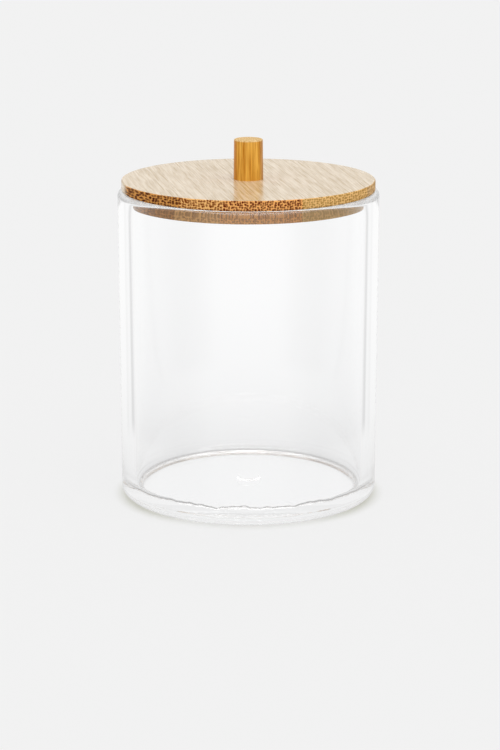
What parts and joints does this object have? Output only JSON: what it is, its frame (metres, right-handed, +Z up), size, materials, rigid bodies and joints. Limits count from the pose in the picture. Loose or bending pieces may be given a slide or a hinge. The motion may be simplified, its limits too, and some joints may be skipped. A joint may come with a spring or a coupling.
{
  "type": "cotton swab holder",
  "caption": "Round clear jar with a thick wall and a turned bamboo lid with a small knob, for keeping cotton swabs upright.",
  "frame": {"origin": "centre of the foot, on the surface that the jar stands on", "axes": "+Z up along the jar's axis, towards the knob; -Y faces the picture's camera"},
  "size_m": [0.0752, 0.0752, 0.1045],
  "materials": {
    "clear_acrylic": "clear, polished",
    "bamboo_lid": "satin lacquer",
    "bamboo_knob": "satin lacquer"
  },
  "bodies": {
    "root": {"jar": "clear_acrylic", "lid": "bamboo_lid", "knob": "bamboo_knob"}
  },
  "joints": []
}
